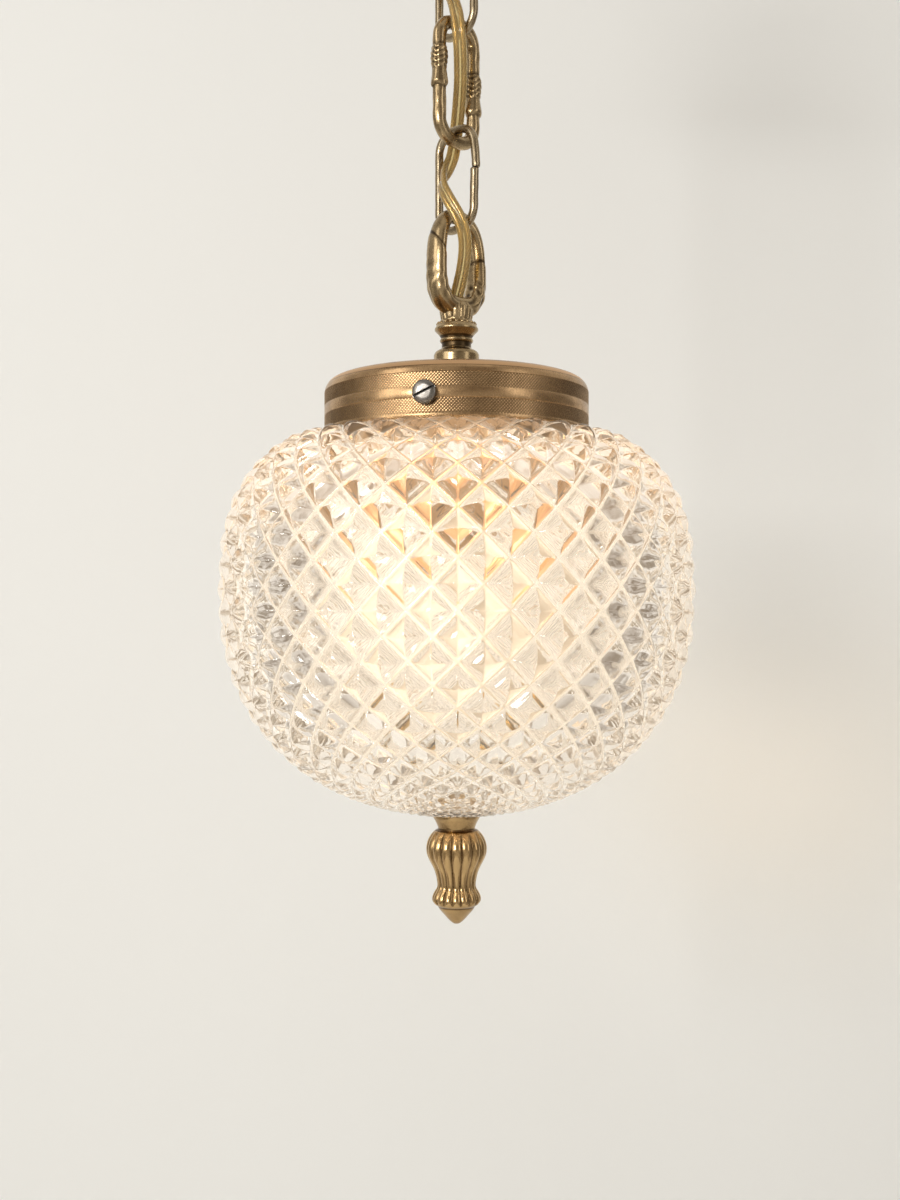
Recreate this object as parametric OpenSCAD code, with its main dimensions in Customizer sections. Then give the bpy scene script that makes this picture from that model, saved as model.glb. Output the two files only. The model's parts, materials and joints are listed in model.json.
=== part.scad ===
// Pendant ceiling light: pressed glass globe on a chain of alternating cast and wire links.
// Millimetres, +Z up. The origin is on the ceiling, at the centre of the bracket.

/* [Chain] */
// outside length of a cast link
cast_len = 53.1; // [40:0.1:70]
// wire thickness of a cast link
cast_wire = 5.4; // [3:0.1:8]
// half width of a cast link, to the middle of its wire
cast_half = 9.6; // [7:0.1:14]
// outside length of a bent wire link
wire_len = 43.6; // [30:0.1:60]
// wire thickness of a bent wire link
wire_d = 3.4; // [2:0.1:5]
// half width of a wire link, to the middle of its wire
wire_half = 9.8; // [7:0.1:14]
// play between two links where they hang on each other
link_gap = 0.3; // [0.3:0.05:1]
// turn of the cast links about the vertical
chain_turn = 45; // [0:1:90]

/* [Ceiling rose] */
// outside radius of the rose at the ceiling
rose_r = 52; // [40:1:80]
// depth of the rose below the ceiling
rose_h = 33; // [20:1:50]
// wall of the rose
rose_t = 1; // [0.6:0.1:2]
// centres of the two fixing holes
fixing_centres = 50.8; // [40:0.1:60]
// diameter of a fixing hole
fixing_hole = 4.5; // [3:0.1:6]
// height of the raised web of the bracket, top side
web_z = -10; // [-16:0.5:-6]
// strap thickness
strap_t = 2.5; // [1:0.1:4]

/* [Stem] */
// outside diameter of the threaded tube
stem_d = 10; // [8:0.1:13]
// bore of the threaded tube
stem_bore = 7.4; // [5:0.1:9]

/* [Gallery] */
// outside radius of the gallery
gallery_r = 52.8; // [40:0.1:70]
// height of the gallery
gallery_h = 22.8; // [15:0.1:35]
// sheet thickness of the gallery
gallery_t = 1; // [0.6:0.1:2]
// number of clamping screws
screw_count = 3; // [3:1:4]
// turn of the first screw from the front
screw_turn = 12.7; // [0:0.1:60]
// height of the screws below the top of the gallery
screw_drop = 13.1; // [8:0.1:18]

/* [Glass] */
// outside radius of the globe over its points
globe_r = 94.3; // [70:0.1:130]
// height of the upper half
globe_up = 73; // [50:0.5:110]
// height of the lower half
globe_low = 87.4; // [50:0.1:110]
// middle of the globe below the top of the gallery
globe_drop = 85.7; // [60:0.1:120]
// points in one row
points = 32; // [16:2:48]
// height of a point as a share of half its width
point_rise = 0.42; // [0.2:0.02:0.8]
// glass under the valleys
glass_t = 2.8; // [2:0.1:6]
// outside radius of the neck
neck_r = 47.8; // [40:0.1:60]
// outside radius of the bead at the top of the neck
bead_r = 50.2; // [42:0.1:62]

/* [Flex] */
// width of the flat twin flex
flex_w = 5.4; // [4:0.1:8]
// thickness of the flat twin flex
flex_t = 2.7; // [2:0.1:4]

/* [Finial] */
// largest radius of the finial
finial_r = 12.2; // [8:0.1:20]

/* [Hidden] */
$fn = 64;
brass = [0.66, 0.53, 0.33];
bright_brass = [0.78, 0.66, 0.40];
steel = [0.62, 0.62, 0.64];
glass_colour = [0.93, 0.92, 0.86, 0.5];
flex_colour = [0.80, 0.68, 0.38];

// the top loop hangs under the rose, and each link under the one before
ring_r = 11.5;
ring_wire = 5;
ring_z = -58;
ring_bottom = ring_z - ring_r - ring_wire / 2;
cast_up_top = ring_bottom + ring_wire + cast_wire + link_gap;
cast_up_bottom = cast_up_top - cast_len;
wire_up_top = cast_up_bottom + cast_wire + wire_d + link_gap;
wire_up_bottom = wire_up_top - wire_len;
cast_low_top = wire_up_bottom + wire_d + cast_wire + link_gap;
cast_low_bottom = cast_low_top - cast_len;
wire_low_top = cast_low_bottom + cast_wire + wire_d + link_gap;
wire_low_bottom = wire_low_top - wire_len;
loop_wire = 5.8;
loop_top = wire_low_bottom + wire_d + loop_wire + link_gap;

// the lamp is drawn downwards from the top of its gallery
loop_rise = 69;
lamp_z = loop_top - loop_rise;

stem_fit = 0.02;
screw_fit = 0.05;
globe_z = -globe_drop;
row_low = -22;
row_high = 10;
row_shift = -0.8;

// route of the flex from the terminals to the lampholder: x, y, z, turn of its flat side
flex_route = [
    [14.4, 15, -18, 0], [14.4, 17.4, -16.2, 0], [12.4, 17, -11.5, 0], [8, 13, -6.4, 0],
    [3.8, 8, -3.8, 0], [0.6, 3, -3.2, 0], [0, 0.4, -6, 0], [0, 0, -11, 0], [0, 0, -28, 0], [0, 0, -44, 0],
    [0, 0, -50, 0], [-1, -1.6, -54, 0], [-1.6, -4.6, -59, 0], [-0.2, -7.4, -64, 0],
    [0.9, -8.2, -68, 0], [1.2, -7.8, -72, 0], [1.4, -5, -79, 0], [1.4, 0, -88, 0], [0.9, 4.4, -97, 0],
    [0, 7.4, -105, 0],
    [-0.6, 8.2, -110, 0], [-1.6, 7.2, -116, 0], [-2.5, 3.4, -124, 20], [-2.4, -0.6, -130, 20],
    [-1, -4.8, -136, 10], [0, -7.2, -141, 0],
    [0.6, -8.2, -146, 0], [1, -7.9, -150, 0], [1.5, -5, -157, 0], [1.6, -0.4, -166, 0], [0.9, 4.2, -175, 0],
    [0, 7.4, -183, 0],
    [-0.6, 8.2, -188, 0], [-1.6, 7, -194, 0], [-3.6, 4, -200, 40], [-5.2, 0, -205, 85],
    [-5.4, -4.4, -210, 120], [-3.2, -8.8, -216, 155],
    [0.6, -9.8, -223, 175], [2.8, -9, -229, 180], [3.4, -6.8, -235, 180], [2.6, -3.6, -242, 180],
    [1.2, -1, -248, 180], [0.2, 0, -252, 180], [0, 0, -256, 180], [0, 0, -270, 180],
    [0, 0, -286, 180], [0, 0, -300, 180], [0, 0, -304, 180]];
// points of the route where one piece of the flex ends and the next begins
flex_cuts = [0, 14, 20, 26, 32, 38, 48];

// ---- shapes used more than once ----

function norm3(a) = a / norm(a);

// rings of an oval tube along p, wide by w and thick by t
function tube_rings(p, w, t, n) = [
    for (i = [0:len(p) - 1])
        let (
            a = p[max(i - 1, 0)],
            b = p[min(i + 1, len(p) - 1)],
            along = norm3([b[0] - a[0], b[1] - a[1], b[2] - a[2]]),
            flat = [cos(p[i][3]), sin(p[i][3]), 0],
            side = norm3(flat - (flat * along) * along),
            up = cross(along, side)
        )
        for (j = [0:n - 1])
            let (s = w / 2 * cos(360 * j / n), h = t / 2 * sin(360 * j / n))
            [p[i][0], p[i][1], p[i][2]] + s * side + h * up
];

function tube_faces(rings, n) = concat(
    [[for (j = [0:n - 1]) j]],
    [
        for (i = [0:rings - 2])
            for (j = [0:n - 1])
                for (half = [0, 1])
                    let (k = (j + 1) % n, a = i * n, b = (i + 1) * n)
                    half == 0 ? [a + j, b + j, a + k] : [a + k, b + j, b + k]
    ],
    [[for (j = [n - 1:-1:0]) (rings - 1) * n + j]]
);

// a point between p1 and p2 on the smooth curve through p0, p1, p2, p3
function curve(p0, p1, p2, p3, t) =
    0.5 * (2 * p1 + (p2 - p0) * t + (2 * p0 - 5 * p1 + 4 * p2 - p3) * t * t
        + (3 * p1 - p0 - 3 * p2 + p3) * t * t * t);

// the route with one more point between each two
function smooth(p) = [
    for (i = [0:len(p) - 1])
        for (h = [0:(i < len(p) - 1 ? 1 : 0)])
            h == 0 ? p[i] : curve(p[max(i - 1, 0)], p[i], p[i + 1], p[min(i + 2, len(p) - 1)], 0.5)
];

flex_sides = 8;
flex_rings = tube_rings(smooth(flex_route), flex_w, flex_t, flex_sides);

// one piece of the flex, its end faces shared with the pieces before and after it
module flex(i) {
    from = 2 * flex_cuts[i];
    to = 2 * flex_cuts[i + 1];
    color(flex_colour)
        polyhedron(
            [for (j = [from * flex_sides:(to + 1) * flex_sides - 1]) flex_rings[j]],
            tube_faces(to - from + 1, flex_sides),
            convexity = 6
        );
}

// a quarter bend of round wire in the XZ plane, from +X towards +Z
module bend(r, d, turn) {
    rotate([90, turn, 0])
        rotate_extrude(angle = 90)
            translate([r, 0])
                circle(d = d);
}

// a link in the XZ plane, from z = 0 down, half wide to the middle of its wire
module oval_link(length, half, d, flat) {
    r = half - flat / 2;
    top = -d / 2 - r;
    low = -length + d / 2 + r;
    for (side = [-1, 1]) {
        translate([side * half, 0, low])
            cylinder(d = d, h = top - low);
        translate([side * flat / 2, 0, top])
            mirror([side < 0 ? 1 : 0, 0, 0])
                bend(r, d, 0);
        translate([side * flat / 2, 0, low])
            mirror([side < 0 ? 1 : 0, 0, 0])
                bend(r, d, 90);
    }
    for (z = [-d / 2, -length + d / 2])
        translate([-flat / 2, 0, z])
            rotate([0, 90, 0])
                cylinder(d = d, h = flat);
}

module hex_nut(across, h, bore) {
    difference() {
        cylinder(d = across / cos(30), h = h, $fn = 6);
        translate([0, 0, -1])
            cylinder(d = bore, h = h + 2);
    }
}

module washer(d, bore, h) {
    difference() {
        cylinder(d = d, h = h);
        translate([0, 0, -1])
            cylinder(d = bore, h = h + 2);
    }
}

// ---- ceiling ----

module ceiling_bracket() {
    color(steel)
        difference() {
            rotate([90, 0, 0])
                translate([0, 0, -8])
                    linear_extrude(16)
                        polygon([[-36, 0], [-18, 0], [-18, web_z], [18, web_z], [18, 0], [36, 0],
                            [36, -strap_t], [20.5, -strap_t], [20.5, web_z - strap_t],
                            [-20.5, web_z - strap_t], [-20.5, -strap_t], [-36, -strap_t]]);
            for (side = [-1, 1])
                translate([side * fixing_centres / 2, 0, -strap_t - 1])
                    cylinder(d = fixing_hole, h = strap_t + 2);
            translate([0, 0, web_z - strap_t - 1])
                cylinder(d = stem_d + 0.2, h = strap_t + 2);
            translate([15, 0, web_z - strap_t - 1])
                cylinder(d = 3.2, h = strap_t + 2);
        }
}

module ceiling_rose() {
    t = rose_t;
    color(brass)
        rotate_extrude($fn = 96)
            polygon([[rose_r, -0.6], [rose_r, -5], [rose_r - 1.2, -8], [rose_r - 4.5, -10.5],
                [rose_r - 8, -12.5], [rose_r - 13, -17], [rose_r - 18, -22.5], [rose_r - 24, -28],
                [rose_r - 31, -31.8], [rose_r - 38, -rose_h], [5.2, -rose_h], [5.2, -rose_h + t],
                [rose_r - 38, -rose_h + t], [rose_r - 31.4, -31.8 + t], [rose_r - 24.6, -28 + t],
                [rose_r - 18.8, -22.5 + t], [rose_r - 13.8, -17 + t], [rose_r - 8.6, -12.5 + t],
                [rose_r - 5.1, -10.5 + t], [rose_r - 2.2, -7.6], [rose_r - t, -5], [rose_r - t, -0.6]]);
}

module rose_stem() {
    color(bright_brass)
        translate([0, 0, -43])
            washer(stem_d, stem_bore, 37);
}

module stem_nuts() {
    color(bright_brass) {
        translate([0, 0, web_z + 0.05])
            hex_nut(14, 3, stem_d + stem_fit);
        translate([0, 0, web_z - strap_t - 3.05])
            hex_nut(14, 3, stem_d + stem_fit);
        translate([0, 0, -rose_h + rose_t + 1.3])
            hex_nut(14, 3, stem_d + stem_fit);
    }
}

module rose_washer() {
    color(steel)
        translate([0, 0, -rose_h + rose_t + 0.05])
            washer(20, stem_d + 0.3, 1.2);
}

module rose_loop() {
    color(brass)
        rotate([0, 0, -chain_turn])
            difference() {
                union() {
                    translate([0, 0, ring_z])
                        rotate([90, 0, 0])
                            rotate_extrude($fn = 96)
                                translate([ring_r, 0])
                                    circle(d = ring_wire);
                    rotate_extrude()
                        polygon([[0, -50.5], [5.2, -50.5], [6, -48], [5.8, -46.5], [6.6, -45.5],
                            [6.6, -44.6], [7.6, -43.4], [9, -43], [9, -rose_h - 0.05],
                            [0, -rose_h - 0.05]]);
                }
                translate([0, 0, -43.2])
                    cylinder(d = stem_d + stem_fit, h = 12);
                translate([0, 0, -53])
                    cylinder(d = 6.4, h = 12);
            }
}

module terminal_block() {
    color([0.93, 0.92, 0.88])
        difference() {
            translate([9.6, -11, -22])
                cube([9.6, 22, 9.4]);
            for (x = [12, 16.8])
                translate([x, -12, -18])
                    rotate([-90, 0, 0])
                        cylinder(d = 3.1, h = 24);
            for (x = [12, 16.8], y = [-6.5, 6.5])
                translate([x, y, -23])
                    cylinder(d = 3.3, h = 5.4);
            translate([14.4, 0, -23])
                cylinder(d = 1.9, h = 12);
            translate([14.4, 0, -23])
                cylinder(d = 4, h = 4);
        }
}

module terminal_screws() {
    color(bright_brass)
        for (x = [12, 16.8], y = [-6.5, 6.5])
            translate([x, y, -21.8])
                difference() {
                    cylinder(d = 3.1, h = 2.1);
                    translate([-0.3, -2, -1])
                        cube([0.6, 4, 1.8]);
                }
}

module block_screw() {
    color(steel)
        translate([14.4, 0, -21])
            difference() {
                union() {
                    cylinder(d = 3.6, h = 1.9);
                    cylinder(d = 1.8, h = 12.5);
                }
                translate([-3, -0.25, -1])
                    cube([6, 0.5, 1.8]);
            }
}

// ---- chain ----

// a cast link with a leaf sleeve round each leg, lower on one leg than on the other
module cast_link(top) {
    color(brass)
        translate([0, 0, top])
            rotate([0, 0, chain_turn]) {
                oval_link(cast_len, cast_half, cast_wire, 3.2);
                for (side = [-1, 1])
                    translate([side * cast_half, 0, side < 0 ? -30.6 : -37.6])
                        rotate_extrude()
                            polygon([[0, -0.4], [3.1, -0.4], [3.45, 1.4], [3.2, 4.6], [2.85, 7],
                                [3.3, 10], [3.4, 12.5], [3.05, 15.6], [2.6, 16.4], [0, 16.4]]);
            }
}

// a bent wire link, its ends meeting in a butt on one leg
module wire_link(top) {
    color(brass)
        translate([0, 0, top])
            rotate([0, 0, -chain_turn])
                difference() {
                    oval_link(wire_len, wire_half, wire_d, 3.6);
                    translate([wire_half - 3, -3, -19.4])
                        cube([6, 6, 0.35]);
                }
}

module cast_link_upper() {
    cast_link(cast_up_top);
}

module wire_link_upper() {
    wire_link(wire_up_top);
}

module cast_link_lower() {
    cast_link(cast_low_top);
}

module wire_link_lower() {
    wire_link(wire_low_top);
}

// the two cores of the flex in the terminals of the block
module rose_cores() {
    for (side = [-1, 1]) {
        route = [[14.4 + side * 1.35, 14.78, -18.11, 0], [14.4 + side * 1.36, 13.9, -18.54, 0],
            [14.4 + side * 1.9, 12.6, -18.6, 0], [14.4 + side * 2.4, 11, -18, 0],
            [14.4 + side * 2.4, 4, -18, 0]];
        color(flex_colour)
            polyhedron(tube_rings(route, 2, 2, 8), tube_faces(len(route), 8), convexity = 4);
    }
}

module flex_rose() {
    flex(0);
}

module flex_cast_upper() {
    flex(1);
}

module flex_wire_upper() {
    flex(2);
}

module flex_cast_lower() {
    flex(3);
}

module flex_wire_lower() {
    flex(4);
}

module flex_lamp() {
    flex(5);
}

// ---- lamp, drawn down from the top of the gallery ----

function power(x, n) = sign(x) * pow(abs(x), n);

// the eye of the loop: rings of an oval bar round a pointed oval
eye_n = 40;
eye_sides = 12;
function eye_at(t) = [11.2 * power(cos(t), 0.77), 44.3 + (sin(t) > 0 ? 21.8 : 14.5) * power(sin(t), 0.77)];
eye_points = [
    for (i = [0:eye_n - 1])
        let (
            t = 360 * (i + 0.5) / eye_n,
            c = eye_at(t),
            d = norm3(eye_at(t + 2) - eye_at(t - 2)),
            out = [d[1], -d[0]],
            a = sin(t) > 0 ? 2.75 + 0.15 * sin(t) : 2.75 - 1.2 * sin(t),
            b = sin(t) > 0 ? 4.6 - 1.7 * pow(sin(t), 3) : 4.6
        )
        for (j = [0:eye_sides - 1])
            let (q = 360 * (j + 0.5) / eye_sides)
            [c[0] + out[0] * a * cos(q), b * sin(q), c[1] + out[1] * a * cos(q)]
];
eye_faces = [
    for (i = [0:eye_n - 1])
        for (j = [0:eye_sides - 1])
            for (half = [0, 1])
                let (
                    a = i * eye_sides,
                    b = ((i + 1) % eye_n) * eye_sides,
                    k = (j + 1) % eye_sides
                )
                half == 0 ? [a + j, b + j, a + k] : [a + k, b + j, b + k]
];

module lamp_loop() {
    color(brass)
        translate([0, 0, lamp_z])
            rotate([0, 0, chain_turn])
                difference() {
                    union() {
                        polyhedron(eye_points, eye_faces, convexity = 8);
                        rotate_extrude()
                            polygon([[0, 0.05], [9.1, 0.05], [9.1, 10.3], [8.4, 11.6], [6.4, 12.6],
                                [5.9, 13.4], [5.9, 15.2], [6.5, 15.8], [6.5, 16.6], [6.1, 17.2],
                                [7, 18.6], [8.5, 20.2], [8.7, 20.9], [8, 21.8], [7.6, 22.8],
                                [6.2, 23.8], [6, 25], [6.5, 28], [7, 31], [0, 33]]);
                    }
                    translate([0, 0, -1])
                        cylinder(d = stem_d + stem_fit, h = 12);
                    translate([0, 0, 5])
                        cylinder(d = 6.4, h = 32);
                }
}

module lamp_stem() {
    color(bright_brass)
        translate([0, 0, lamp_z - 11.5])
            washer(stem_d, stem_bore, 22);
}

module gallery() {
    r = gallery_r;
    h = gallery_h;
    t = gallery_t;
    color(brass)
        translate([0, 0, lamp_z])
            difference() {
                union() {
                    rotate_extrude($fn = 128)
                        polygon([[0, 0], [r - 5.6, 0], [r - 3.6, -0.4], [r - 1.8, -1.5], [r - 0.5, -3.4],
                            [r, -5.4], [r, -h + 2.4], [r - 0.3, -h + 1.1], [r - 1.1, -h + 0.3],
                            [r - 2.2, -h], [r - 2.6, -h + 0.6], [r - 1.6, -h + 1.4],
                            [r - t - 0.1, -h + 2.6], [r - t, -5.6], [r - 1.5, -3.9], [r - 2.5, -2.3],
                            [r - 4, -1.3], [r - 5.6, -t], [0, -t]]);
                    for (i = [0:screw_count - 1])
                        rotate([0, 0, -90 - screw_turn + 360 * i / screw_count])
                            translate([r - 2.6, 0, -screw_drop])
                                rotate([0, 90, 0])
                                    cylinder(d = 7, h = 2);
                }
                translate([0, 0, -3])
                    cylinder(d = stem_d + 0.3, h = 6);
                for (i = [0:screw_count - 1])
                    rotate([0, 0, -90 - screw_turn + 360 * i / screw_count])
                        translate([r - 8, 0, -screw_drop])
                            rotate([0, 90, 0])
                                cylinder(d = 4 + 2 * screw_fit, h = 12);
            }
}

module gallery_washer() {
    color(steel)
        translate([0, 0, lamp_z - 2.25])
            washer(22, stem_d + 0.3, 1.2);
}

module gallery_nut() {
    color(bright_brass)
        translate([0, 0, lamp_z - 5.3])
            hex_nut(14, 3, stem_d + stem_fit);
}

// slotted screw through the side of the gallery, its end under the bead of the glass
module clamp_screw(i) {
    color(steel)
        translate([0, 0, lamp_z - screw_drop])
            rotate([0, 0, -90 - screw_turn + 360 * i / screw_count])
                translate([gallery_r, 0, 0])
                    rotate([0, 90, 0])
                        difference() {
                            rotate_extrude()
                                polygon([[0, -4.6], [1.4, -4.6], [2, -4], [2, 0.35], [4.2, 0.35],
                                    [4.5, 0.7], [4.5, 2], [4.1, 2.7], [3, 3.2], [0, 3.4]]);
                            rotate([0, 0, 25])
                                translate([-0.45, -6, 2])
                                    cube([0.9, 12, 4]);
                        }
}

module clamp_screw_1() {
    clamp_screw(0);
}

module clamp_screw_2() {
    clamp_screw(1);
}

module clamp_screw_3() {
    clamp_screw(2);
}

// latitude of a row, so that the points keep their shape as they shrink
function row_angle(k) = 2 * atan(exp((k + row_shift) * PI / points)) - 90;

// distance from the middle of the globe to its outside, at a latitude
function reach(a) =
    let (n = a > 0 ? 2.8 : 2.2, b = a > 0 ? globe_up : globe_low)
    pow(pow(cos(a) / globe_r, n) + pow(abs(sin(a)) / b, n), -1 / n);

function rise_at(k) =
    let (a = row_angle(k))
    point_rise * PI / points * reach(a) * cos(a) * (k == row_high ? 0.5 : 1) * (k == row_low ? 0.3 : 1);

function row_ring(k) =
    let (a = row_angle(k), full = reach(a), h = rise_at(k))
    [
        for (i = [0:2 * points - 1])
            let (
                q = -90 + 180 * i / points,
                peak = (i + k + 100) % 2 == 1,
                r = peak ? full - (k == row_high ? h : 0) : full - (k == row_high ? 2 * h : h)
            )
            [r * cos(a) * cos(q), r * cos(a) * sin(q), globe_z + r * sin(a)]
    ];

function flat_ring(r, z) = [
    for (i = [0:2 * points - 1])
        let (q = -90 + 180 * i / points)
        [r * cos(q), r * sin(q), z]
];

function inner_ring(a) =
    let (r = reach(a) - glass_t - point_rise * PI / points * reach(a) * cos(a))
    flat_ring(r * cos(a), globe_z + r * sin(a));

// outside from the hole at the bottom to the bead, then back down the inside
globe_rings = concat(
    [flat_ring(5, -171.6), flat_ring(12, -171.4)],
    [for (k = [row_low:row_high]) row_ring(k)],
    [
        flat_ring(56.5, -23.5), flat_ring(51.5, -23.6), flat_ring(48.6, -22.6), flat_ring(neck_r, -20.5),
        flat_ring(neck_r, -9.8), flat_ring(bead_r - 0.4, -8.4), flat_ring(bead_r, -7),
        flat_ring(bead_r, -4.6), flat_ring(bead_r - 1, -3), flat_ring(45.4, -2.6), flat_ring(44, -4),
        flat_ring(44, -22), flat_ring(46, -26.2), flat_ring(52, -28.4)
    ],
    [for (a = [40:-4:-72]) inner_ring(a)],
    [flat_ring(13, -167.2), flat_ring(5, -167.4)]
);
rows_from = 2;
rows_to = 2 + row_high - row_low;
ring_n = 2 * points;

function strip(i, j) =
    let (a = i * ring_n, b = ((i + 1) % len(globe_rings)) * ring_n, k = (j + 1) % ring_n)
    i >= rows_from && i < rows_to
        ? (
            (j + i - rows_from + row_low + 100) % 2 == 1
                ? [[a + j, b + j, a + k], [a + k, b + j, b + k]]
                : [[a + j, b + k, a + k], [a + j, b + j, b + k]]
        )
        : [[a + j, b + j, a + k], [a + k, b + j, b + k]];

module glass_globe() {
    color(glass_colour)
        translate([0, 0, lamp_z])
            polyhedron(
                [for (ring = globe_rings) each ring],
                [for (i = [0:len(globe_rings) - 1], j = [0:ring_n - 1]) each strip(i, j)],
                convexity = 10
            );
}

// ---- lampholder and bulb ----

module holder_cap() {
    color(brass)
        translate([0, 0, lamp_z])
            rotate_extrude()
                polygon([[stem_d / 2 + stem_fit / 2, -5.5], [7.5, -5.5], [7.5, -9.5], [10, -11],
                    [15, -14], [18.2, -18], [19.6, -23], [19.6, -26], [18.7, -26], [18.7, -23],
                    [17.4, -18.6], [14.4, -15], [9.6, -12.2], [stem_d / 2 + stem_fit / 2, -12.2]]);
}

module holder_shell() {
    color(brass)
        translate([0, 0, lamp_z])
            rotate_extrude()
                polygon([[18.6, -23.2], [18.6, -26.1], [19.6, -26.6], [19.6, -31], [18.4, -32],
                    [18.4, -50], [19.2, -51], [18.2, -52], [17.4, -51.6], [17.4, -31.4],
                    [18.4, -30.4], [18.4, -27], [17.7, -26.6], [17.7, -23.2]]);
}

module holder_core() {
    color([0.95, 0.94, 0.90])
        translate([0, 0, lamp_z])
            difference() {
                rotate_extrude()
                    polygon([[0, -33], [17.2, -33], [17.2, -30.2], [18.2, -30.2], [18.2, -27.2],
                        [17.5, -27], [17.5, -24], [0, -24]]);
                for (side = [-1, 1])
                    translate([side * 9.5, 0, -27.5])
                        cylinder(d = 4.1, h = 6);
                translate([0, 0, -34])
                    cylinder(d = 2.6, h = 12);
                translate([0, 0, -34])
                    cylinder(r = 13.2, h = 1.6);
            }
}

module holder_thread() {
    color(bright_brass)
        translate([0, 0, lamp_z])
            rotate_extrude()
                polygon([[13.3, -33.1], [14.3, -33.1], [14.3, -36], [14.8, -37], [14.3, -38],
                    [14.3, -39.6], [14.8, -40.6], [14.3, -41.6], [14.3, -43.2], [14.8, -44.2],
                    [14.3, -45.2], [14.3, -51], [13.3, -51]]);
}

module centre_contact() {
    color(bright_brass)
        translate([0, 0, lamp_z]) {
            translate([0, 0, -32.8])
                cylinder(d = 2.4, h = 10);
            translate([-2.5, -2.5, -33.2])
                cube([12, 5, 0.7]);
            translate([-2.5, -2.5, -34.9])
                cube([9, 5, 0.6]);
            translate([5.9, -2.5, -34.8])
                cube([0.6, 5, 2]);
        }
}

module side_contact() {
    color(bright_brass)
        translate([0, 0, lamp_z])
            translate([-12.8, -2, -34.9])
                cube([0.5, 4, 2.4]);
}

module holder_screws() {
    color(bright_brass)
        translate([0, 0, lamp_z])
            for (side = [-1, 1])
                translate([side * 9.5, 0, -27.4])
                    difference() {
                        union() {
                            cylinder(d = 4, h = 3.3);
                            cylinder(d = 3, h = 6);
                            translate([0, 0, 5.4])
                                cylinder(d = 5.6, h = 1.6);
                        }
                        translate([-0.4, -4, 6])
                            cube([0.8, 8, 2]);
                    }
}

// the two cores of the flex, from the end of its cover to the screws of the lampholder
module core_wires() {
    for (side = [-1, 1]) {
        route = [[side * 1.35, 0, -304.15, 90], [side * 1.37, 0, -304.8, 90],
            [side * 1.8, 0, -306, 90], [side * 3.6, 0.6, -307.6, 90],
            [side * 5, 1.8, -308.2, 90], [side * 6, 3, -308.6, 90], [side * 7.4, 4.2, -309.4, 90]];
        color(flex_colour)
            polyhedron(tube_rings(route, 2, 2, 8), tube_faces(len(route), 8), convexity = 4);
    }
}

module bulb_glass() {
    color([0.98, 0.96, 0.90, 0.7])
        translate([0, 0, lamp_z])
            rotate_extrude($fn = 96)
                polygon([[11.2, -48], [11.2, -56.4], [12.4, -57], [13.8, -59], [14.6, -61.5],
                    [16.4, -66], [19.6, -72], [23.6, -79],
                    [27.2, -86], [29.4, -93], [30, -100], [29.6, -107], [28, -114.5], [25.2, -121.5],
                    [21.2, -128], [16, -133.4], [10.4, -137], [5, -138.7], [0, -139.2],
                    [0, -138.2], [4.9, -137.7], [10, -136.1], [15.4, -132.6], [20.4, -127.4],
                    [24.3, -121.1], [27, -114.2], [28.6, -106.9], [29, -100], [28.4, -93.2],
                    [26.3, -86.4], [22.8, -79.5], [18.8, -72.5], [15.5, -66.3], [13.7, -61.8],
                    [12.9, -59.6], [11.7, -57.8], [10.4, -57], [10.4, -48]]);
}

module bulb_cap() {
    color([0.82, 0.78, 0.62])
        translate([0, 0, lamp_z])
            rotate_extrude()
                polygon([[5.2, -36.4], [9, -36.6], [11.8, -38], [12.6, -40], [12.1, -41.4],
                    [12.9, -42.8], [12.1, -44.2], [12.1, -45], [12.9, -46.4], [12.1, -47.8],
                    [12.1, -48.6], [12.9, -50], [12.1, -51.4], [12.1, -52.2], [12.9, -53.6],
                    [12.4, -55], [12.7, -56.2], [11.4, -56.2], [11.4, -41.4], [10.8, -39],
                    [8.6, -37.6], [5.2, -37.4]]);
}

module bulb_insulator() {
    color([0.12, 0.12, 0.13])
        translate([0, 0, lamp_z])
            rotate_extrude()
                polygon([[2.6, -36.2], [5, -36.6], [5, -38.2], [2.6, -38.2]]);
}

module bulb_contact() {
    color(steel)
        translate([0, 0, lamp_z])
            rotate_extrude()
                polygon([[0, -35.2], [3, -35.4], [4.2, -36.1], [2.5, -36.15], [2.5, -38.4], [0, -38.4]]);
}

// glass stem of the bulb with the glowing filament round its tip
module bulb_mount() {
    color([0.9, 0.9, 0.88])
        translate([0, 0, lamp_z]) {
            rotate_extrude()
                polygon([[0, -48.5], [10.2, -48.5], [10.2, -49.5], [6.5, -54], [4.4, -62], [3, -74], [2, -92],
                    [3, -93.5], [0, -95]]);
            translate([0, 0, -98])
                rotate_extrude()
                    translate([8, 0])
                        circle(d = 0.6, $fn = 16);
            for (q = [0:90:270])
                rotate([0, 0, q])
                    translate([0.5, -0.3, -98.3])
                        cube([7.6, 0.6, 0.6]);
            translate([0, 0, -98.4])
                cylinder(d = 1.6, h = 5);
        }
}

// ---- foot of the globe ----

module finial() {
    r = finial_r;
    color(brass)
        translate([0, 0, lamp_z])
            difference() {
                rotate_extrude()
                    polygon([[0, -172.7], [9.5, -172.7], [9.5, -173.4], [8.4, -175.4], [7.6, -178],
                        [7.4, -180], [8.4, -181.6], [10.6, -183.6], [r, -186.4], [r, -188.4],
                        [r - 0.8, -191], [r - 2.4, -194.2], [r - 4.2, -197.6], [7.1, -200.2],
                        [7.3, -202.4], [8.4, -204.2], [9.6, -205.6], [9.6, -207], [8.2, -208.2],
                        [7.2, -208.8], [6.8, -210.4], [5.6, -213], [3.6, -215.4], [1.6, -216.5],
                        [0, -216.6]]);
                translate([0, 0, -188])
                    cylinder(d = 6.04, h = 20);
            }
}

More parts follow.
